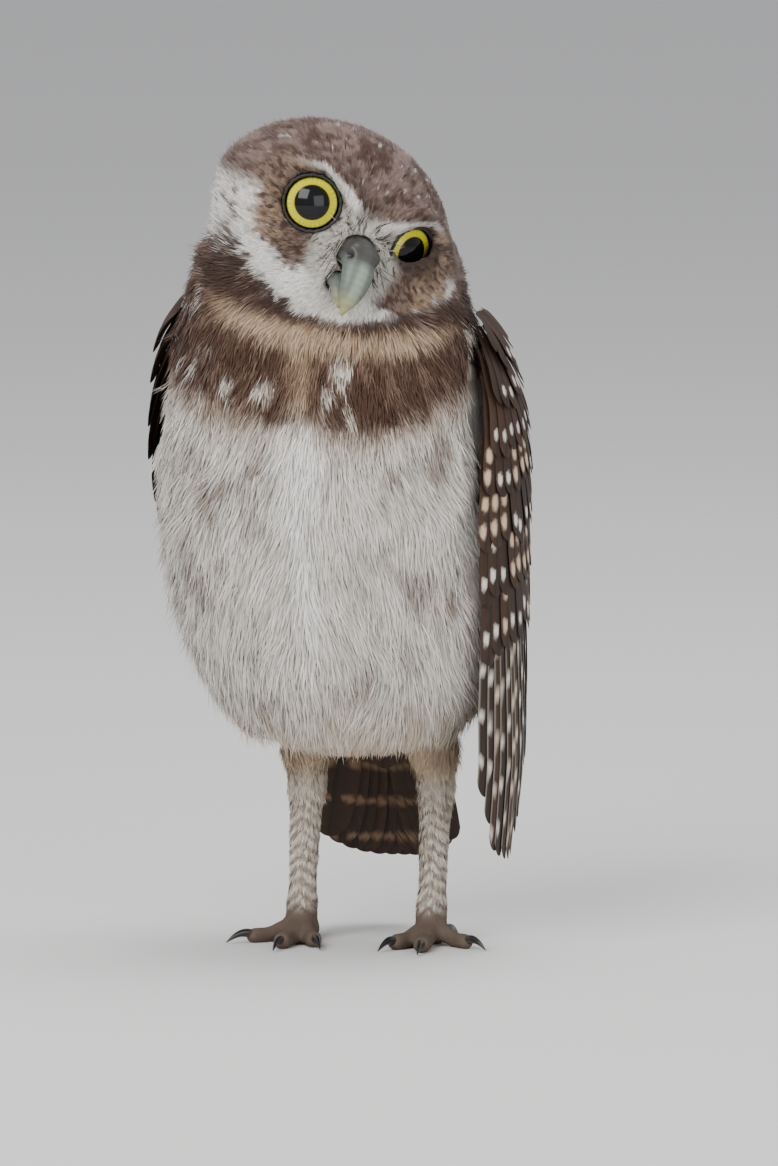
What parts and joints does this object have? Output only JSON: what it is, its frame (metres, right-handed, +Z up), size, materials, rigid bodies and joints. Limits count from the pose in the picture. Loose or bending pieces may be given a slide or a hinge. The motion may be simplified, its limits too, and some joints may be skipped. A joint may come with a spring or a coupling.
{
  "type": "burrowing owl",
  "caption": "Still model of a young burrowing owl standing upright on both feet, head turned and tipped to its left, wings folded, one hanging lower.",
  "frame": {"origin": "on the ground, at the middle of the owl's outline seen from above", "axes": "+Z up, the breast faces -Y, the owl's own left side is +X"},
  "size_m": [0.1083, 0.0873, 0.233],
  "materials": {
    "crown": "fine down and short feathers, matt",
    "collar": "soft downy feathers, matt",
    "breast": "long loose down, matt",
    "wing": "flight and covert feathers, dull satin",
    "tail": "flight feathers, dull satin",
    "leg": "short close feathers, matt",
    "toes": "scaly skin, matt",
    "claw": "smooth horn",
    "bill": "smooth horn",
    "eye": "wet and glossy, yellow ring round a black pupil"
  },
  "bodies": {
    "root": {"bill_lower": "bill", "bill_upper": "bill", "claw_left_hind": "claw", "claw_left_inner": "claw", "claw_left_middle": "claw", "claw_left_outer": "claw", "claw_right_hind": "claw", "claw_right_inner": "claw", "claw_right_middle": "claw", "claw_right_outer": "claw", "eye_left": "eye", "eye_right": "eye", "foot_left": "toes", "foot_right": "toes", "head": "crown", "neck": "collar", "tail": "tail", "tarsus_left": "leg", "tarsus_right": "leg", "thigh_left": "leg", "thigh_right": "leg", "torso": "breast", "wing_left": "wing", "wing_right": "wing"}
  },
  "joints": []
}
